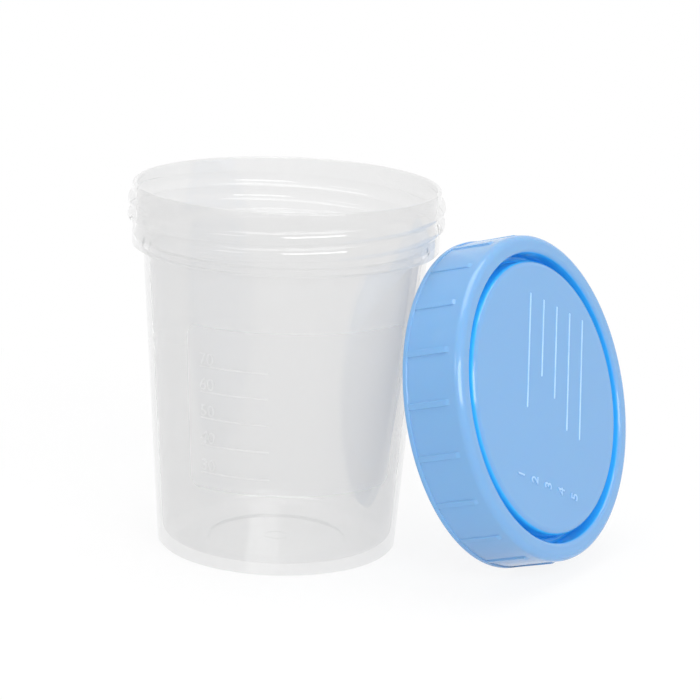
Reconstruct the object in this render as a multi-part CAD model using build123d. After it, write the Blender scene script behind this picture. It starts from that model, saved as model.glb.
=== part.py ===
from build123d import *
import math
import os

os.makedirs("parts", exist_ok=True)

# All sizes are in millimetres and all angles in degrees.
# The origin is the centre of the cup's foot, on the surface that it stands on, with +Z up its axis.

# Cup
cup_height = 72.0
neck_radius = 29.85
neck_wall = 0.9
lip_rounding = 0.35
ledge_gap = 0.4
ledge_width = 2.15
ledge_thickness = 1.2
body_wall = 1.1
foot_radius = 23.55
foot_rounding = 1.0
floor_thickness = 1.8
floor_rounding = 2.0
foot_recess_radius = 13.5
foot_recess_depth = 0.9
gate_ring_radius = 2.5
gate_ring_width = 0.5
gate_ring_depth = 0.2

# Screw thread that the neck and the cap share
thread_starts = 2
thread_lead = 6.15
thread_step = 20.0
thread_fade = 0.2
thread_sink = 0.3

# Thread ridge on the neck
neck_thread_angle = 211.0
neck_thread_drop = 2.75
neck_thread_lift = 2.75
neck_thread_height = 0.9
neck_thread_round = 1.54

# Thread ridge in the cap
cap_thread_turn = 300.0
cap_thread_low = 3.1
cap_thread_height = 0.6
cap_thread_round = 0.83
cap_thread_clearance = 0.2

# Cap
cap_height = 12.6
cap_top_thickness = 1.0
skirt_wall = 0.85
skirt_draft = 0.12
shoulder_round = 1.5
bead_height = 1.0
bead_proud = 0.26
bead_round = 0.25
disc_drop = 0.12
disc_thickness = 1.0
disc_round = 1.2
plug_clearance = 0.1
plug_wall = 0.65
plug_thickness = 0.8
plug_round = 0.35
groove_width = 1.6
groove_depth = 4.2
groove_draft = 0.15
groove_round = 0.5
groove_lip_round = 0.85
seal_channel_round = 0.25

# Grip ribs round the cap's skirt
rib_count = 20
rib_phase = 7.5
rib_width = 1.3
rib_end = 9.2
rib_run_out = 0.6
rib_below_bead = 0.05

# Ruled writing lines raised on the cap's disc, each from its left end to a common right end
ruled_turn = 63.9
ruled_right = 19.0
ruled_lefts = [-4.0, 3.4, 0.2, -5.0, -5.7]
ruled_first = 7.5
ruled_pitch = 4.95
ruled_width = 0.4
ruled_height = 0.18

# The cap stands on its edge and leans back on the cup's ledge
lean_tilt = 16.67
lean_facing = -32.95
lean_side = -7.3
lean_clearance = 0.35
lean_samples = 720

# Sizes that follow from the ones above
mouth_radius = neck_radius - neck_wall
body_top_radius = neck_radius - ledge_width
seal_level = cap_height - cap_top_thickness
neck_length = seal_level + ledge_gap
ledge_height = cup_height - neck_length
neck_thread_rise = neck_length - neck_thread_drop - neck_thread_lift
neck_thread_turn = 360 * neck_thread_rise / thread_lead
neck_thread_crest = neck_radius + neck_thread_height
thread_pitch = thread_lead / thread_starts
skirt_inner = neck_thread_crest + cap_thread_clearance
skirt_outer = skirt_inner + skirt_wall
bead_radius = skirt_outer + bead_proud
plug_radius = mouth_radius - plug_clearance
groove_outer = plug_radius - plug_wall
groove_inner = groove_outer - groove_width
disc_level = cap_height - disc_drop
groove_floor = disc_level - groove_depth
closed_height = cup_height - seal_level
thread_overlap = cup_height - neck_thread_drop - closed_height - cap_thread_low
rib_radius = bead_radius - rib_below_bead


def turned(corners):
    """A solid of revolution from (radius, height, corner rounding) points."""
    points = [(radius, height) for radius, height, rounding in corners]
    roundings = [rounding for radius, height, rounding in corners]
    with BuildLine(Plane.XZ) as outline:
        FilletPolyline(*points, radius=roundings, close=True)
    return revolve(make_face(outline.line), Axis.Z)


def thread_section(angle, height, crest, bulge, root, inward):
    """One cross-section of a thread ridge: an arc over a straight root line."""
    side = -1 if inward else 1
    centre = crest - side * bulge
    half = math.sqrt(bulge**2 - (root - centre) ** 2)
    turn = math.radians(angle)
    across = Vector(math.cos(turn), math.sin(turn), 0)
    plane = Plane(origin=(0, 0, height), x_dir=across, z_dir=across.cross(Vector(0, 0, 1)))
    arc = ThreePointArc((root, -half), (crest, 0), (root, half))
    chord = Line((root, half), (root, -half))
    return plane * make_face([arc, chord])


def thread_ridge(top_angle, top_height, turn, wall_radius, ridge_height, bulge, inward):
    """A helical ridge that runs down from its top end and fades into the wall at both ends."""
    side = -1 if inward else 1
    steps = max(4, round(turn / thread_step))
    sections = []
    for step in range(steps + 1):
        back = turn * step / steps
        fade = thread_fade if step in (0, steps) else 1.0
        crest = wall_radius + side * ridge_height * fade
        root = wall_radius - side * thread_sink
        height = top_height - thread_lead * back / 360
        sections.append(thread_section(top_angle - back, height, crest, bulge, root, inward))
    return loft(sections)


def make_cup():
    """The cup: a straight cone under a threaded neck, with a ledge between them."""
    shell = turned(
        [
            (0, foot_recess_depth, 0),
            (gate_ring_radius - gate_ring_width, foot_recess_depth, 0),
            (gate_ring_radius - gate_ring_width, foot_recess_depth - gate_ring_depth, 0),
            (gate_ring_radius, foot_recess_depth - gate_ring_depth, 0),
            (gate_ring_radius, foot_recess_depth, 0),
            (foot_recess_radius, foot_recess_depth, foot_recess_depth / 4),
            (foot_recess_radius, 0, foot_recess_depth / 4),
            (foot_radius, 0, foot_rounding),
            (body_top_radius, ledge_height, 0.1),
            (neck_radius, ledge_height, 0.1),
            (neck_radius, cup_height, lip_rounding),
            (mouth_radius, cup_height, lip_rounding),
            (mouth_radius, ledge_height + ledge_thickness, 0.3),
            (body_top_radius - body_wall, ledge_height + ledge_thickness, 0.3),
            (foot_radius - body_wall, floor_thickness, floor_rounding),
            (0, floor_thickness, 0),
        ]
    )
    for start in range(thread_starts):
        shell += thread_ridge(
            neck_thread_angle + 360 * start / thread_starts,
            cup_height - neck_thread_drop,
            neck_thread_turn,
            neck_radius,
            neck_thread_height,
            neck_thread_round,
            inward=False,
        )
    return shell


def cap_thread_top():
    """Where the cap's first ridge ends at the top, midway between the neck's ridges when closed."""
    neck_top = cup_height - neck_thread_drop
    ridge_top = closed_height + cap_thread_low + thread_lead * cap_thread_turn / 360
    angle = neck_thread_angle + 360 * (ridge_top + thread_pitch / 2 - neck_top) / thread_lead
    return angle, ridge_top - closed_height


def make_cap():
    """The cap in its own place: open edge at height 0, top up, axis on Z."""
    groove_low_outer = groove_outer - groove_draft
    groove_low_inner = groove_inner + groove_draft
    plug_inner = groove_inner - plug_wall
    shell = turned(
        [
            (0, disc_level - disc_thickness, 0),
            (plug_inner, disc_level - disc_thickness, disc_thickness / 2),
            (plug_inner, groove_floor - plug_thickness, plug_round),
            (plug_radius, groove_floor - plug_thickness, plug_round),
            (plug_radius, seal_level, seal_channel_round),
            (skirt_inner, seal_level, seal_channel_round),
            (skirt_inner, 0, 0),
            (bead_radius, 0, bead_round),
            (bead_radius, bead_height, bead_round),
            (skirt_outer, bead_height, 0),
            (skirt_outer - skirt_draft, cap_height, shoulder_round),
            (groove_outer, cap_height, groove_lip_round),
            (groove_low_outer, groove_floor, groove_round),
            (groove_low_inner, groove_floor, groove_round),
            (groove_inner, disc_level, disc_round),
            (0, disc_level, 0),
        ]
    )
    rib_outline = Polyline(
        (skirt_inner + skirt_wall / 2, bead_height / 2),
        (rib_radius, bead_height / 2),
        (rib_radius, rib_end),
        (skirt_inner + skirt_wall / 2, rib_end + rib_run_out),
        close=True,
    )
    rib = extrude(Plane.XZ * make_face(rib_outline), amount=rib_width / 2, both=True)
    for index in range(rib_count):
        shell += Rot(0, 0, rib_phase + 360 * index / rib_count) * rib
    top_angle, top_height = cap_thread_top()
    for start in range(thread_starts):
        shell += thread_ridge(
            top_angle + 360 * start / thread_starts,
            top_height,
            cap_thread_turn,
            skirt_inner,
            cap_thread_height,
            cap_thread_round,
            inward=True,
        )
    for row, left in enumerate(ruled_lefts):
        length = ruled_right - left
        place = Pos(left + length / 2, ruled_first - ruled_pitch * row, disc_level)
        line = place * Box(length, ruled_width, 2 * ruled_height)
        shell += Rot(0, 0, ruled_turn) * line
    return shell


def gap_to_thread(radius, angle, height):
    """Distance from a point to the nearest ridge on the neck, less than 0 inside it."""
    gaps = []
    for start in range(thread_starts):
        back = (neck_thread_angle + 360 * start / thread_starts - angle) % 360
        while back < neck_thread_turn + 360:
            ridge = cup_height - neck_thread_drop - thread_lead * min(back, neck_thread_turn) / 360
            away = radius - neck_thread_crest + neck_thread_round
            gaps.append(math.hypot(away, height - ridge) - neck_thread_round)
            back += 360
    return min(gaps)


def gap_to_cup(radius, angle, height):
    """Distance from a point to the cup's outside, less than 0 inside it."""
    outline = [
        (foot_radius, 0),
        (body_top_radius, ledge_height),
        (neck_radius, ledge_height),
        (neck_radius, cup_height),
    ]
    gaps = []
    inside = False
    for (r0, h0), (r1, h1) in zip(outline, outline[1:]):
        run, rise = r1 - r0, h1 - h0
        along = ((radius - r0) * run + (height - h0) * rise) / (run**2 + rise**2)
        along = min(1, max(0, along))
        gaps.append(math.hypot(radius - r0 - along * run, height - h0 - along * rise))
        if rise and h0 <= height <= h1:
            inside = radius < r0 + run * (height - h0) / rise
    gap_to_wall = -min(gaps) if inside else min(gaps)
    return min(gap_to_wall, gap_to_thread(radius, angle, height))


def lean_plane(reach):
    """The plane of the cap's open edge, when the cap stands this far from the cup's axis."""
    tilt = math.radians(lean_tilt)
    facing = math.radians(lean_facing)
    side = math.radians(lean_side)
    level = Vector(math.cos(facing), math.sin(facing), 0)
    axis = level * math.cos(tilt) + Vector(0, 0, 1) * math.sin(tilt)
    lift = (bead_radius - bead_round) * math.cos(tilt) + bead_round * (1 - math.sin(tilt))
    origin = (reach * math.cos(side), reach * math.sin(side), lift)
    return Plane(origin=origin, x_dir=Vector(0, 0, 1).cross(axis), z_dir=axis)


def lean_gap(reach):
    """The smallest gap between the cup and the cap's bead, from the centres of its rounded edges."""
    plane = lean_plane(reach)
    radius = bead_radius - bead_round
    gaps = []
    for step in range(lean_samples):
        turn = 2 * math.pi * step / lean_samples
        for height in (bead_round, bead_height - bead_round):
            place = Vector(radius * math.cos(turn), radius * math.sin(turn), height)
            point = plane.from_local_coords(place)
            angle = math.degrees(math.atan2(point.Y, point.X))
            gaps.append(gap_to_cup(math.hypot(point.X, point.Y), angle, point.Z))
    return min(gaps) - bead_round


def lean_reach():
    """The distance at which the cap just clears the cup that it leans on."""
    near = neck_radius
    far = neck_radius + bead_radius + cap_height
    while far - near > lean_clearance / 1000:
        middle = (near + far) / 2
        if lean_gap(middle) < lean_clearance:
            near = middle
        else:
            far = middle
    return far


cup = make_cup()
cap_place = lean_plane(lean_reach())
cap = cap_place.location * make_cap()

export_step(cup, "parts/cup.step")
export_step(cap, "parts/cap.step")

print("cap centre", [round(value, 3) for value in cap_place.origin])
print("cap axis", [round(value, 5) for value in cap_place.z_dir])
print("cap across", [round(value, 5) for value in cap_place.x_dir])
print("closed height", round(closed_height, 3))
print("turn to close", round(360 * thread_overlap / thread_lead, 1))
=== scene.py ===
import math

import bpy
from mathutils import Matrix, Vector


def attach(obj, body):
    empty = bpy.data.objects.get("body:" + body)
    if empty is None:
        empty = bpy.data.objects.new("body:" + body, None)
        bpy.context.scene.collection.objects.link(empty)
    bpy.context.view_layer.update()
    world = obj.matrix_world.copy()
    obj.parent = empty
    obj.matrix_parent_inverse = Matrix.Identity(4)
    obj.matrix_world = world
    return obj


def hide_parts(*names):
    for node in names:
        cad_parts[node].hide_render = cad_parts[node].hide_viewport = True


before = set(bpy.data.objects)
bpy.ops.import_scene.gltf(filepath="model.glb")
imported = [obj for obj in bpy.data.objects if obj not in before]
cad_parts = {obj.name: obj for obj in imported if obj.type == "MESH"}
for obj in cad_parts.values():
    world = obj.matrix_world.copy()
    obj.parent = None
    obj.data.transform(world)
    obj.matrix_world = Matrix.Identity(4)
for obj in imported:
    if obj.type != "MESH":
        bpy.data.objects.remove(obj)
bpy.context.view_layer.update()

print("frame loaded:", ", ".join(sorted(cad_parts)))

mm = 0.001
cornerRow = 0.12            # mm from a corner to the next row of points
threadStarts = 2
threadFade = 20             # degrees over which a ridge rises out of its wall
valleySoft = 0.12           # mm: mould tools leave no sharp valley beside a ridge


# Small helpers

def srgb(hexColour):
    # "#rrggbb" to the linear values that a shader socket takes
    parts = [int(hexColour[i:i + 2], 16) / 255 for i in (1, 3, 5)]
    return tuple(p / 12.92 if p <= 0.04045 else ((p + 0.055) / 1.055) ** 2.4 for p in parts) + (1.0,)


def addNode(tree, kind, settings=None, links=None):
    # one node, its properties and socket values, and what feeds its sockets
    node = tree.nodes.new(kind)
    for key, value in (settings or {}).items():
        if isinstance(key, str) and hasattr(node, key):
            setattr(node, key, value)
        else:
            node.inputs[key].default_value = value
    for key, source in (links or {}).items():
        tree.links.new(source, node.inputs[key])
    return node


def newMaterial(name):
    material = bpy.data.materials.new(name)
    material.use_nodes = True
    material.node_tree.nodes.clear()
    return material, material.node_tree


def addMesh(name, verts, faces, smooth=True):
    mesh = bpy.data.meshes.new(name)
    mesh.from_pydata(verts, [], faces)
    mesh.polygons.foreach_set("use_smooth", [smooth] * len(mesh.polygons))
    mesh.update()
    piece = bpy.data.objects.new(name, mesh)
    bpy.context.scene.collection.objects.link(piece)
    return piece


def smoothStep(value, low, high):
    t = min(1.0, max(0.0, (value - low) / (high - low)))
    return t * t * (3 - 2 * t)


# A wall's outline: corners of (radius, height, rounding, name of the run that starts there, row spacing).
# All in mm. Gives rows of (radius, height, run name); each rounding becomes an arc.
def roundedOutline(corners, arcStep=11.0):
    rows = []
    count = len(corners)
    ends = []
    for i, (r, z, rounding, run, step) in enumerate(corners):
        here = Vector((r, z))
        if rounding == 0 or i in (0, count - 1):
            ends.append([here])
            continue
        before = (Vector(corners[i - 1][:2]) - here).normalized()
        after = (Vector(corners[i + 1][:2]) - here).normalized()
        angle = before.angle(after)
        reach = rounding / math.tan(angle / 2)
        middle = here + (before + after).normalized() * rounding / math.sin(angle / 2)
        start = here + before * reach - middle
        turn = start.angle_signed(here + after * reach - middle)
        parts = max(3, math.ceil(math.degrees(abs(turn)) / arcStep))
        arc = []
        for k in range(parts + 1):
            a = -turn * k / parts
            arc.append(middle + Vector((start.x * math.cos(a) - start.y * math.sin(a),
                                        start.x * math.sin(a) + start.y * math.cos(a))))
        ends.append(arc)
    for i in range(count):
        run, step = corners[i][3], corners[i][4]
        rows += [(p.x, p.y, run if k else corners[i - 1][3]) for k, p in enumerate(ends[i])]
        if i == count - 1:
            break
        a, b = ends[i][-1], ends[i + 1][0]
        length = (b - a).length
        edge = min(cornerRow, length / 4)                 # keeps the shading crisp next to each corner
        inner = length - 2 * edge
        parts = max(1, round(inner / step))
        places = [edge] + [edge + inner * k / parts for k in range(1, parts)] + [length - edge]
        rows += [((a + (b - a) * s / length).x, (a + (b - a) * s / length).y, run) for s in places]
    return rows


# Turns an outline that starts and ends on the axis; shape(run, r, z, degrees) may move each point.
def turnOutline(name, rows, angles, shape):
    verts, faces, rings = [], [], []
    columns = len(angles)
    for r, z, run in rows:
        if r < 1e-6:
            rings.append([len(verts)])
            verts.append((0, 0, z * mm))
            continue
        ring = []
        for degrees in angles:
            rr, zz = shape(run, r, z, degrees)
            ring.append(len(verts))
            turn = math.radians(degrees)
            verts.append((rr * mm * math.cos(turn), rr * mm * math.sin(turn), zz * mm))
        rings.append(ring)
    for low, high in zip(rings, rings[1:]):
        for c in range(columns):
            d = (c + 1) % columns
            if len(low) == 1:
                faces.append((low[0], high[d], high[c]))
            elif len(high) == 1:
                faces.append((low[c], low[d], high[0]))
            else:
                faces.append((low[c], low[d], high[d], high[c]))
    return addMesh(name, verts, faces)


# Height of a helical ridge over its wall at a place, 0 off the ridge, in mm.
def ridgeAt(thread, degrees, height):
    best = 0.0
    half = math.sqrt(thread["round"] ** 2 - (thread["round"] - thread["height"]) ** 2)
    for start in range(threadStarts):
        back = (thread["topAngle"] + 360 / threadStarts * start - degrees) % 360
        while back <= thread["turn"]:
            off = height - (thread["topHeight"] - thread["lead"] * back / 360)
            if abs(off) < half:
                fade = smoothStep(back, -6, threadFade) * smoothStep(thread["turn"] - back, -6, threadFade)
                bump = thread["height"] * fade - thread["round"] + math.sqrt(thread["round"] ** 2 - off ** 2)
                soft = math.sqrt(bump ** 2 + valleySoft ** 2)
                bump = (bump + soft) / 2 * smoothStep(half - abs(off), 0, 0.25)
                best = max(best, bump)
            back += 360
    return best


# A plain number as a thin raised plate: flat points (x, y, height 0 to 1) and faces, in mm, from x = 0.
def numberPlate(text, digitHeight):
    curve = bpy.data.curves.new("number", "FONT")
    curve.body, curve.size, curve.extrude, curve.resolution_u = text, digitHeight / 0.729, 0.5, 4
    holder = bpy.data.objects.new("number", curve)
    mesh = bpy.data.meshes.new_from_object(holder)
    points = [(v.co.x, v.co.y, v.co.z + 0.5) for v in mesh.vertices]
    faces = [tuple(f.vertices) for f in mesh.polygons]
    bpy.data.objects.remove(holder)
    bpy.data.curves.remove(curve)
    bpy.data.meshes.remove(mesh)
    return points, faces


# A raised line with a half-round top and round ends, from (x0, y) to (x1, y), height 0 to 1, in mm.
def raisedLine(x0, x1, y, width, parts=6):
    points, faces = [], []
    half = width / 2
    rounds = [(half * (1 - math.cos(math.pi * k / 8)), math.sin(math.pi * k / 8)) for k in range(1, 5)]
    straight = x1 - x0 - width
    count = max(1, round(straight))                       # one piece for each millimetre
    stations = [(x0 + along, wide) for along, wide in rounds]
    stations += [(x0 + half + straight * k / count, 1.0) for k in range(1, count)]
    stations += [(x1 - along, wide) for along, wide in reversed(rounds)]
    for x, wide in stations:
        for k in range(parts + 1):
            a = math.pi * k / parts
            points.append((x, y - half * wide * math.cos(a), wide * math.sin(a)))
    ring = parts + 1
    for i in range(len(stations) - 1):
        for k in range(parts):
            a = i * ring + k
            faces.append((a, a + ring, a + ring + 1, a + 1))
        faces.append((i * ring + parts, (i + 1) * ring + parts, (i + 1) * ring, i * ring))
    faces.append(tuple(range(ring)))
    faces.append(tuple(range(len(points) - 1, len(points) - 1 - ring, -1)))
    return points, faces


# Puts several flat reliefs into one piece; place(x, y, height) says where each point goes, in mm.
def addRelief(name, reliefs, place):
    verts, faces = [], []
    for points, own in reliefs:
        faces += [tuple(len(verts) + v for v in f) for f in own]
        verts += [tuple(c * mm for c in place(*p)) for p in points]
    return addMesh(name, verts, faces, smooth=False)


# Camera: 140 mm lens on a 36 mm frame, half a metre in front and a little above

cameraSetup = {"place": (0.0, -0.5174, 0.1692), "yaw": 0.02564, "pitch": 0.24592, "roll": 0.0392,
               "lens": 139.83}


def makeCamera():
    yaw, pitch, roll = (cameraSetup[k] for k in ("yaw", "pitch", "roll"))
    ahead = Vector((math.sin(yaw) * math.cos(pitch), math.cos(yaw) * math.cos(pitch), -math.sin(pitch)))
    right = Vector((math.cos(yaw), -math.sin(yaw), 0))
    up = right.cross(ahead)
    across = right * math.cos(roll) + up * math.sin(roll)
    above = up * math.cos(roll) - right * math.sin(roll)
    data = bpy.data.cameras.new("camera")
    data.lens, data.sensor_width, data.sensor_fit = cameraSetup["lens"], 36.0, "HORIZONTAL"
    data.clip_start, data.clip_end = 0.01, 50.0
    camera = bpy.data.objects.new("camera", data)
    camera.matrix_world = Matrix((across, above, -ahead)).transposed().to_4x4()
    camera.location = cameraSetup["place"]
    bpy.context.scene.collection.objects.link(camera)
    bpy.context.scene.camera = camera


makeCamera()


# Room: pale floor, soft lamps, plain world

roomSetup = {"floorColour": "#f4f4f4", "floorWhite": 0.88, "shadowReach": 0.16, "floorRadius": 6.0,
             "world": 0.42, "lampTarget": (0.01, 0, 0.035),
             "lamps": [  # name, place, width, height, watts
                 ("left_box", (-0.75, -0.75, 0.75), 0.5, 0.3, 1.2),
                 ("right_box", (0.4, -1.05, 0.7), 1.0, 0.5, 9.5),
                 ("top_box", (0.0, 0.1, 1.2), 0.9, 0.9, 7.5)]}


def seenRays(tree):
    # 1 for what the camera sees, straight or by gloss or through clear plastic
    path = addNode(tree, "ShaderNodeLightPath")
    first = addNode(tree, "ShaderNodeMath", {"operation": "MAXIMUM"},
                    {0: path.outputs["Is Camera Ray"], 1: path.outputs["Is Glossy Ray"]})
    both = addNode(tree, "ShaderNodeMath", {"operation": "MAXIMUM"},
                   {0: first.outputs[0], 1: path.outputs["Is Transmission Ray"]})
    return both.outputs[0]


def makeRoom():
    # painted board floor, matt: white to the eye and still holding the object's shadow
    material, tree = newMaterial("matt white painted board")
    paint = addNode(tree, "ShaderNodeBsdfDiffuse", {"Color": srgb(roomSetup["floorColour"])})
    glow = addNode(tree, "ShaderNodeEmission", {"Color": (1, 1, 1, 1), "Strength": 1.0})
    place = addNode(tree, "ShaderNodeTexCoord")
    away = addNode(tree, "ShaderNodeVectorMath", {"operation": "LENGTH"}, {0: place.outputs["Object"]})
    white = addNode(tree, "ShaderNodeMapRange",
                    {"interpolation_type": "SMOOTHSTEP", "From Min": roomSetup["shadowReach"] * 0.5,
                     "From Max": roomSetup["shadowReach"], "To Min": roomSetup["floorWhite"]},
                    {"Value": away.outputs["Value"]})
    share = addNode(tree, "ShaderNodeMath", {"operation": "MULTIPLY"},
                    {0: seenRays(tree), 1: white.outputs["Result"]})
    mixed = addNode(tree, "ShaderNodeMixShader", None,
                    {0: share.outputs[0], 1: paint.outputs[0], 2: glow.outputs[0]})
    addNode(tree, "ShaderNodeOutputMaterial", None, {"Surface": mixed.outputs[0]})
    radius = roomSetup["floorRadius"]
    turns = [a * math.pi / 32 for a in range(64)]
    corners = [(radius * math.cos(a), radius * math.sin(a), -0.05 * mm) for a in turns]
    floor = addMesh("floor", corners, [tuple(range(64))], smooth=False)
    floor.data.materials.append(material)

    world = bpy.data.worlds.new("room")
    bpy.context.scene.world = world
    world.use_nodes = True
    tree = world.node_tree
    tree.nodes.clear()
    soft = addNode(tree, "ShaderNodeBackground", {"Color": (1, 1, 1, 1), "Strength": roomSetup["world"]})
    white = addNode(tree, "ShaderNodeBackground", {"Color": (1, 1, 1, 1), "Strength": 1.0})
    mixed = addNode(tree, "ShaderNodeMixShader", None,
                    {0: seenRays(tree), 1: soft.outputs[0], 2: white.outputs[0]})
    addNode(tree, "ShaderNodeOutputWorld", None, {"Surface": mixed.outputs[0]})

    for name, place, width, height, watts in roomSetup["lamps"]:
        lamp = bpy.data.lights.new(name, "AREA")
        lamp.shape, lamp.size, lamp.size_y, lamp.energy = "RECTANGLE", width, height, watts
        holder = bpy.data.objects.new(name, lamp)
        holder.location = place
        aim = Vector(roomSetup["lampTarget"]) - Vector(place)
        holder.rotation_euler = aim.to_track_quat("-Z", "Y").to_euler()
        bpy.context.scene.collection.objects.link(holder)

    scene = bpy.context.scene
    scene.view_settings.view_transform = "Standard"
    scene.cycles.max_bounces = 20                         # light passes many clear walls before it leaves
    scene.cycles.transmission_bounces = 20
    scene.cycles.glossy_bounces = 12


makeRoom()
print("camera and room made")


# Cup

cupSizes = {"height": 72.0, "neckRadius": 29.85, "mouthRadius": 28.95, "lipRounding": 0.35,
            "ledgeHeight": 60.0, "bodyTop": 27.7, "bodyWall": 1.1, "ledgeThickness": 1.2,
            "footRadius": 23.55, "footRounding": 1.0, "floorTop": 1.8, "floorRounding": 2.0,
            "recessRadius": 13.5, "recessDepth": 0.9, "gateOuter": 2.5, "gateInner": 2.0, "gateDepth": 0.2,
            "columns": 720}
neckThread = {"topAngle": 211.0, "topHeight": 69.25, "turn": 380.5, "lead": 6.15,
              "height": 0.9, "round": 1.54}


cupPanel = {"left": -42.5, "right": 59.0, "low": 16.3, "high": 48.6, "corner": 2.5, "radius": 25.8,
            "edge": 0.12, "skin": 0.5}


def panelMask(tree, position):
    # 1 inside the round-cornered matt panel on the outer wall, 0 elsewhere; degrees count from the front
    split = addNode(tree, "ShaderNodeSeparateXYZ", None, {0: position})
    back = addNode(tree, "ShaderNodeMath", {"operation": "MULTIPLY", 1: -1.0}, {0: split.outputs["Y"]})
    turn = addNode(tree, "ShaderNodeMath", {"operation": "ARCTAN2"},
                   {0: split.outputs["X"], 1: back.outputs[0]})
    p = cupPanel
    middleTurn = math.radians(p["left"] + p["right"]) / 2
    halfTurn = math.radians(p["right"] - p["left"]) / 2
    middleHeight, halfHeight = (p["low"] + p["high"]) / 2, (p["high"] - p["low"]) / 2
    outside = []
    for source, middle, half, scale in ((turn.outputs[0], middleTurn, halfTurn, p["radius"]),
                                        (split.outputs["Z"], middleHeight * mm, halfHeight * mm, 1 / mm)):
        off = addNode(tree, "ShaderNodeMath", {"operation": "SUBTRACT", 1: middle}, {0: source})
        size = addNode(tree, "ShaderNodeMath", {"operation": "ABSOLUTE"}, {0: off.outputs[0]})
        past = addNode(tree, "ShaderNodeMath",
                       {"operation": "MULTIPLY_ADD", 1: scale, 2: p["corner"] - half * scale},
                       {0: size.outputs[0]})
        beyond = addNode(tree, "ShaderNodeMath", {"operation": "MAXIMUM", 1: 0.0}, {0: past.outputs[0]})
        outside.append(beyond.outputs[0])
    corner = addNode(tree, "ShaderNodeCombineXYZ", None, {0: outside[0], 1: outside[1]})
    length = addNode(tree, "ShaderNodeVectorMath", {"operation": "LENGTH"}, {0: corner.outputs[0]})
    mask = addNode(tree, "ShaderNodeMapRange",
                   {"From Min": p["corner"] + p["edge"], "From Max": p["corner"] - p["edge"]},
                   {"Value": length.outputs["Value"]})
    # only the outer wall is textured: its place lies outside the middle of the wall
    flat = addNode(tree, "ShaderNodeCombineXYZ", None, {0: split.outputs["X"], 1: split.outputs["Y"]})
    radius = addNode(tree, "ShaderNodeVectorMath", {"operation": "LENGTH"}, {0: flat.outputs[0]})
    slope = (cupSizes["bodyTop"] - cupSizes["footRadius"]) / cupSizes["ledgeHeight"]
    wall = addNode(tree, "ShaderNodeMath",
                   {"operation": "MULTIPLY_ADD", 1: slope, 2: (cupSizes["footRadius"] - p["skin"]) * mm},
                   {0: split.outputs["Z"]})
    outer = addNode(tree, "ShaderNodeMath", {"operation": "GREATER_THAN"},
                    {0: radius.outputs["Value"], 1: wall.outputs[0]})
    both = addNode(tree, "ShaderNodeMath", {"operation": "MULTIPLY"},
                   {0: mask.outputs["Result"], 1: outer.outputs[0]})
    return both.outputs[0]


clearLook = {"colour": "#efefef", "haze": 0.07, "bend": 1.01, "gloss": 1.49, "roughness": 0.04,
             "panelRoughness": 0.3, "coatRoughness": 0.03, "waveSize": 11.11, "waveDepth": 0.2}


def makeClearPlastic():
    # clarified polypropylene, injection moulded: clear with a slight milky haze, glossy, faint flow waves,
    # and a spark-eroded panel that takes the gloss off
    material, tree = newMaterial("clarified polypropylene moulded gloss")
    place = addNode(tree, "ShaderNodeTexCoord")
    waves = addNode(tree, "ShaderNodeTexNoise",
                    {"Scale": 1 / (clearLook["waveSize"] * mm), "Detail": 2.0, "Roughness": 0.45},
                    {"Vector": place.outputs["Object"]})
    bump = addNode(tree, "ShaderNodeBump", {"Strength": 0.25, "Distance": clearLook["waveDepth"] * mm},
                   {"Height": waves.outputs["Fac"]})
    rough = addNode(tree, "ShaderNodeMapRange",
                    {"To Min": clearLook["roughness"], "To Max": clearLook["panelRoughness"]},
                    {"Value": panelMask(tree, place.outputs["Object"])})
    shader = addNode(tree, "ShaderNodeBsdfPrincipled",
                     {"Base Color": srgb(clearLook["colour"]), "Transmission Weight": 1 - clearLook["haze"],
                      "IOR": clearLook["bend"],           # thin walls hardly shift what is behind them
                      "Coat Weight": 1.0, "Coat IOR": clearLook["gloss"],   # but shine as polypropylene does
                      "Coat Roughness": clearLook["coatRoughness"]},
                     {"Coat Normal": bump.outputs["Normal"], "Roughness": rough.outputs["Result"]})
    addNode(tree, "ShaderNodeOutputMaterial", None, {"Surface": shader.outputs[0]})
    return material


frostedLook = {"colour": "#f6f6f6", "bend": 1.12, "clear": 0.7, "roughness": 0.5,
               "grainSize": 0.25, "grainDepth": 0.05}


def makeFrostedPlastic():
    # the same polypropylene where the tool is textured: raised marks that scatter light and look whiter
    material, tree = newMaterial("clarified polypropylene moulded frosted")
    place = addNode(tree, "ShaderNodeTexCoord")
    grain = addNode(tree, "ShaderNodeTexNoise", {"Scale": 1 / (frostedLook["grainSize"] * mm), "Detail": 1.0},
                    {"Vector": place.outputs["Object"]})
    bump = addNode(tree, "ShaderNodeBump", {"Strength": 0.3, "Distance": frostedLook["grainDepth"] * mm},
                   {"Height": grain.outputs["Fac"]})
    shader = addNode(tree, "ShaderNodeBsdfPrincipled",
                     {"Base Color": srgb(frostedLook["colour"]), "IOR": frostedLook["bend"],
                      "Transmission Weight": frostedLook["clear"], "Roughness": frostedLook["roughness"]},
                     {"Normal": bump.outputs["Normal"]})
    addNode(tree, "ShaderNodeOutputMaterial", None, {"Surface": shader.outputs[0]})
    return material


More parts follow.
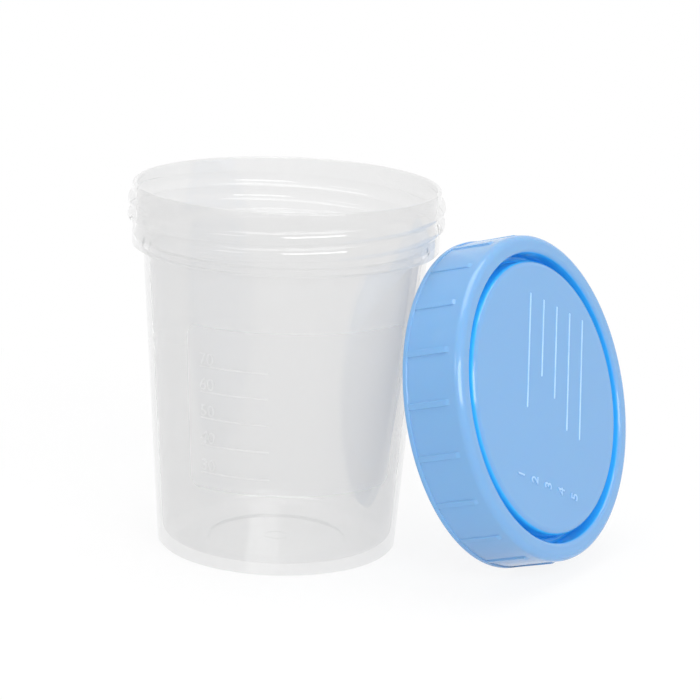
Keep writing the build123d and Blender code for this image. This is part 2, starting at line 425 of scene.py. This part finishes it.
def makeCup():
    s = cupSizes
    corners = [
        (0, s["recessDepth"], 0, "recess", 1.0),
        (s["gateInner"], s["recessDepth"], 0.05, "gate", 0.2),
        (s["gateInner"], s["recessDepth"] - s["gateDepth"], 0.05, "gate", 0.2),
        (s["gateOuter"], s["recessDepth"] - s["gateDepth"], 0.05, "gate", 0.2),
        (s["gateOuter"], s["recessDepth"], 0.05, "recess", 2.0),
        (s["recessRadius"], s["recessDepth"], 0.3, "recess", 0.5),
        (s["recessRadius"], 0, 0.3, "foot", 1.5),
        (s["footRadius"], 0, s["footRounding"], "body", 2.0),
        (s["bodyTop"], s["ledgeHeight"], 0.3, "ledge", 0.5),
        (s["neckRadius"], s["ledgeHeight"], 0.25, "neck", 0.1),
        (s["neckRadius"], s["height"], s["lipRounding"], "lip", 0.2),
        (s["mouthRadius"], s["height"], s["lipRounding"], "mouth", 1.0),
        (s["mouthRadius"], s["ledgeHeight"] + s["ledgeThickness"], 0.3, "inner ledge", 0.5),
        (s["bodyTop"] - s["bodyWall"], s["ledgeHeight"] + s["ledgeThickness"], 0.3, "inside", 2.0),
        (s["footRadius"] - s["bodyWall"], s["floorTop"], s["floorRounding"], "bottom", 2.0),
        (0, s["floorTop"], 0, "bottom", 1.0)]

    def shape(run, r, z, degrees):
        if run == "neck" and z < s["height"] - 0.5 and z > s["ledgeHeight"] + 0.3:
            return r + ridgeAt(neckThread, degrees, z), z
        return r, z

    angles = [360 * c / s["columns"] for c in range(s["columns"])]
    cup = turnOutline("cup_clear", roundedOutline(corners), angles, shape)
    cup.data.materials.append(makeClearPlastic())
    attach(cup, "cup")
    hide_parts("cup")


# Plain volume marks in millilitres, each at the height that the cup's inside gives, its number above the line
volumeMarks = {"marks": [(30, 19.59), (40, 25.12), (50, 30.48), (60, 35.68), (70, 40.73)],
               "start": -36.0, "lineLength": 14.0,
               "lineWidth": 0.35, "digitHeight": 2.4, "lift": 0.45, "proud": 0.12, "sunk": 0.06}


def makeVolumeMarks(material):
    v = volumeMarks
    s = cupSizes
    for volume, level in v["marks"]:
        middle = s["footRadius"] + (s["bodyTop"] - s["footRadius"]) * level / s["ledgeHeight"]

        def place(x, y, height):
            turn = math.radians(v["start"]) + x / middle
            z = level + y
            r = s["footRadius"] + (s["bodyTop"] - s["footRadius"]) * z / s["ledgeHeight"]
            r += height * (v["proud"] + v["sunk"]) - v["sunk"]
            return r * math.sin(turn), -r * math.cos(turn), z

        points, faces = numberPlate(str(volume), v["digitHeight"])
        number = [(x, y + v["lift"], h) for x, y, h in points], faces
        line = raisedLine(0, v["lineLength"], 0, v["lineWidth"])
        mark = addRelief("volume_mark_%d" % volume, [number, line], place)
        mark.data.materials.append(material)
        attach(mark, "cup")


makeCup()
makeVolumeMarks(makeFrostedPlastic())
print("cup made")


# Cap

capSizes = {"centre": (41.446, -5.309, 30.651),
            "axis": (0.80388, -0.52105, 0.28686), "across": (0.54391, 0.83915, 0.0),
            "height": 12.6, "seal": 11.6, "skirtInner": 30.95, "skirtOuter": 31.8,
            "draft": 0.12, "shoulder": 1.5,
            "beadRadius": 32.06, "beadHeight": 1.0, "beadRound": 0.25,
            "disc": 12.48, "discUnder": 11.48, "discRound": 1.2,
            "plugRadius": 28.85, "plugInner": 25.95, "plugRound": 0.35,
            "grooveOuter": 28.2, "grooveInner": 26.6, "grooveFloor": 8.28,
            "grooveDraft": 0.15, "grooveRound": 0.5,
            "grooveLip": 0.85, "plugUnder": 7.48, "sealRound": 0.25, "columns": 480}
capThread = {"topHeight": 8.225, "turn": 300.0, "lead": 6.15, "height": 0.6, "round": 0.83}
capRibs = {"count": 20, "phase": 7.5, "width": 1.3, "radius": 32.01, "end": 9.2, "runOut": 0.6, "soft": 0.1}


def capPlace():
    axis, across = Vector(capSizes["axis"]).normalized(), Vector(capSizes["across"]).normalized()
    turned = Matrix((across, axis.cross(across), axis)).transposed().to_4x4()
    return Matrix.Translation(Vector(capSizes["centre"]) * mm) @ turned


# the second blue is painted light: a brighter, saturated blue painted into the groove, reaching out from the
# groove's middle and down from the disc
blueLook = {"colour": "#77a9d9", "paintedGrooveLight": "#44c0ff", "roughness": 0.12, "bend": 1.49,
            "scatter": 0.25, "scatterReach": 1.5, "grainSize": 0.4, "waveSize": 16.67, "waveDepth": 0.2,
            "paintedLightReach": (0.95, 1.15), "paintedLightDrop": (0.1, 0.7)}  # mm: from the groove's middle, below the disc


def makeBluePlastic():
    # masterbatch-tinted polypropylene, injection moulded: satin gloss, and light enters it a little; the
    # groove between disc and ring has a brighter, saturated blue painted into its colour as painted light
    material, tree = newMaterial("blue tinted polypropylene moulded satin")
    place = addNode(tree, "ShaderNodeTexCoord")
    grain = addNode(tree, "ShaderNodeTexNoise",
                    {"Scale": 1 / (blueLook["grainSize"] * mm), "Detail": 2.0, "Roughness": 0.5},
                    {"Vector": place.outputs["Object"]})
    waves = addNode(tree, "ShaderNodeTexNoise",
                    {"Scale": 1 / (blueLook["waveSize"] * mm), "Detail": 1.0, "Roughness": 0.4},
                    {"Vector": place.outputs["Object"]})
    height = addNode(tree, "ShaderNodeMath", {"operation": "MULTIPLY_ADD", 1: 0.06},
                     {0: grain.outputs["Fac"], 2: waves.outputs["Fac"]})
    bump = addNode(tree, "ShaderNodeBump", {"Strength": 0.2, "Distance": blueLook["waveDepth"] * mm},
                   {"Height": height.outputs[0]})
    # painted light: the groove between disc and ring gets a brighter, saturated blue painted into its colour,
    # standing in for the light that arrives there through the walls
    split = addNode(tree, "ShaderNodeSeparateXYZ", None, {0: place.outputs["Object"]})
    flat = addNode(tree, "ShaderNodeCombineXYZ", None, {0: split.outputs["X"], 1: split.outputs["Y"]})
    radius = addNode(tree, "ShaderNodeVectorMath", {"operation": "LENGTH"}, {0: flat.outputs[0]})
    middle = (capSizes["grooveOuter"] + capSizes["grooveInner"]) / 2
    off = addNode(tree, "ShaderNodeMath", {"operation": "SUBTRACT", 1: middle * mm},
                  {0: radius.outputs["Value"]})
    size = addNode(tree, "ShaderNodeMath", {"operation": "ABSOLUTE"}, {0: off.outputs[0]})
    reach, drop = blueLook["paintedLightReach"], blueLook["paintedLightDrop"]
    near = addNode(tree, "ShaderNodeMapRange", {"From Min": reach[1] * mm, "From Max": reach[0] * mm},
                   {"Value": size.outputs[0]})
    paintedGrooveLight = addNode(tree, "ShaderNodeMapRange", {"interpolation_type": "SMOOTHSTEP",
                                                "From Min": (capSizes["disc"] - drop[0]) * mm,
                                                "From Max": (capSizes["disc"] - drop[1]) * mm},
                   {"Value": split.outputs["Z"]})
    both = addNode(tree, "ShaderNodeMath", {"operation": "MULTIPLY"},
                   {0: near.outputs["Result"], 1: paintedGrooveLight.outputs["Result"]})
    colour = addNode(tree, "ShaderNodeMix",
                     {"data_type": "RGBA", 6: srgb(blueLook["colour"]), 7: srgb(blueLook["paintedGrooveLight"])},
                     {0: both.outputs[0]})
    shader = addNode(tree, "ShaderNodeBsdfPrincipled",
                     {"Roughness": blueLook["roughness"], "IOR": blueLook["bend"],
                      "Subsurface Weight": blueLook["scatter"], "Subsurface Radius": (0.15, 0.6, 1.0),
                      "Subsurface Scale": blueLook["scatterReach"] * mm},
                     {"Base Color": colour.outputs[2], "Normal": bump.outputs["Normal"]})
    addNode(tree, "ShaderNodeOutputMaterial", None, {"Surface": shader.outputs[0]})
    return material


# both blues here are painted highlight, lighter than the disc so the thin lines read as catching light
raisedLook = {"colour": "#8fc0ee", "paintedHighlight": "#b9dafa", "roughness": 0.3, "bend": 1.49, "highlightPatchSize": 2.5}


def makeRaisedBlue():
    # the same blue polypropylene on thin raised lines, with a lighter blue painted in as painted highlight,
    # so they read lighter than the disc
    material, tree = newMaterial("blue tinted polypropylene raised lines")
    place = addNode(tree, "ShaderNodeTexCoord")
    # noise spreads the lighter painted highlight over the lines in patches
    highlightPatches = addNode(tree, "ShaderNodeTexNoise", {"Scale": 1 / (raisedLook["highlightPatchSize"] * mm), "Detail": 2.0},
                   {"Vector": place.outputs["Object"]})
    colour = addNode(tree, "ShaderNodeMix",
                     {"data_type": "RGBA", 6: srgb(raisedLook["colour"]), 7: srgb(raisedLook["paintedHighlight"])},
                     {0: highlightPatches.outputs["Fac"]})
    shader = addNode(tree, "ShaderNodeBsdfPrincipled",
                     {"Roughness": raisedLook["roughness"], "IOR": raisedLook["bend"]},
                     {"Base Color": colour.outputs[2]})
    addNode(tree, "ShaderNodeOutputMaterial", None, {"Surface": shader.outputs[0]})
    return material


def makeCap(material):
    s = capSizes
    # when the cap is closed its ridges lie midway between the neck's
    rise = cupSizes["height"] - s["seal"] + capThread["topHeight"] - neckThread["topHeight"]
    rise += capThread["lead"] / threadStarts / 2
    thread = dict(capThread, topAngle=neckThread["topAngle"] + 360 * rise / capThread["lead"])
    corners = [
        (0, s["discUnder"], 0, "under", 3.0),
        (s["plugInner"], s["discUnder"], 0.5, "plug", 1.0),
        (s["plugInner"], s["plugUnder"], s["plugRound"], "plug", 1.0),
        (s["plugRadius"], s["plugUnder"], s["plugRound"], "plug", 1.0),
        (s["plugRadius"], s["seal"], s["sealRound"], "seal", 0.5),
        (s["skirtInner"], s["seal"], s["sealRound"], "inside", 0.2),
        (s["skirtInner"], 0, 0.1, "edge", 0.3),
        (s["beadRadius"], 0, s["beadRound"], "bead", 0.2),
        (s["beadRadius"], s["beadHeight"], s["beadRound"], "bead", 0.1),
        (s["skirtOuter"], s["beadHeight"], 0.05, "skirt", 0.3),
        (s["skirtOuter"] - s["draft"], s["height"], s["shoulder"], "ring", 0.5),
        (s["grooveOuter"], s["height"], s["grooveLip"], "groove", 0.5),
        (s["grooveOuter"] - s["grooveDraft"], s["grooveFloor"], s["grooveRound"], "groove", 0.5),
        (s["grooveInner"] + s["grooveDraft"], s["grooveFloor"], s["grooveRound"], "groove", 0.5),
        (s["grooveInner"], s["disc"], s["discRound"], "disc", 2.0),
        (0, s["disc"], 0, "disc", 2.0)]
    step = 360 / capRibs["count"]

    def shape(run, r, z, degrees):
        if run == "inside" and 0.3 < z < s["seal"] - 0.3:
            return r - ridgeAt(thread, degrees, z), z
        if run == "skirt" and z < s["height"] - 1.0:
            off = abs((degrees - capRibs["phase"] + step / 2) % step - step / 2)
            side = math.radians(off) * r
            full = 1 - smoothStep(side, capRibs["width"] / 2 - capRibs["soft"], capRibs["width"] / 2)
            full *= 1 - smoothStep(z, capRibs["end"], capRibs["end"] + capRibs["runOut"])
            return r + (capRibs["radius"] - r) * full, z
        return r, z

    angles = [360 * c / s["columns"] for c in range(s["columns"])]
    for rib in range(capRibs["count"]):                   # extra columns where each rib's sides stand up
        for side in (-1, 1):
            for past in (-0.15, -0.1, -0.05, 0.0, 0.05):
                off = math.degrees(side * (capRibs["width"] / 2 + past) / s["skirtOuter"])
                angles.append((capRibs["phase"] + step * rib + off) % 360)
    angles = sorted(angles)
    angles = [a for a, b in zip(angles, angles[1:] + [angles[0] + 360]) if b - a > 0.03]
    cap = turnOutline("cap_blue", roundedOutline(corners), angles, shape)
    cap.matrix_world = capPlace()
    cap.data.materials.append(material)
    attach(cap, "cap")
    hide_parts("cap")


# Raised writing lines on the disc, each with a plain number where its field starts
writingLines = {"turn": 63.9, "lefts": [-4.0, 3.4, 0.2, -5.0, -5.7], "right": 19.0,
                "first": 7.5, "pitch": 4.95, "width": 0.4, "height": 0.18, "sunk": 0.05,
                "numberStart": -18.2, "numberLift": 0.4, "digitHeight": 2.4}


def makeWritingLines(material):
    w = writingLines
    turn = math.radians(w["turn"])

    def place(x, y, height):
        z = capSizes["disc"] + height * (w["height"] + w["sunk"]) - w["sunk"]
        return x * math.cos(turn) - y * math.sin(turn), x * math.sin(turn) + y * math.cos(turn), z

    lines, numbers = [], []
    for row, left in enumerate(w["lefts"]):
        y = w["first"] - w["pitch"] * row
        lines.append(raisedLine(left, w["right"], y, w["width"]))
        points, faces = numberPlate(str(row + 1), w["digitHeight"])
        moved = [(px + w["numberStart"], py + y + w["numberLift"], h) for px, py, h in points]
        numbers.append((moved, faces))
    for name, reliefs in (("writing_lines", lines), ("line_numbers", numbers)):
        piece = addRelief(name, reliefs, place)
        piece.matrix_world = capPlace()
        piece.data.materials.append(material)
        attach(piece, "cap")


makeCap(makeBluePlastic())
makeWritingLines(makeRaisedBlue())
print("cap made")
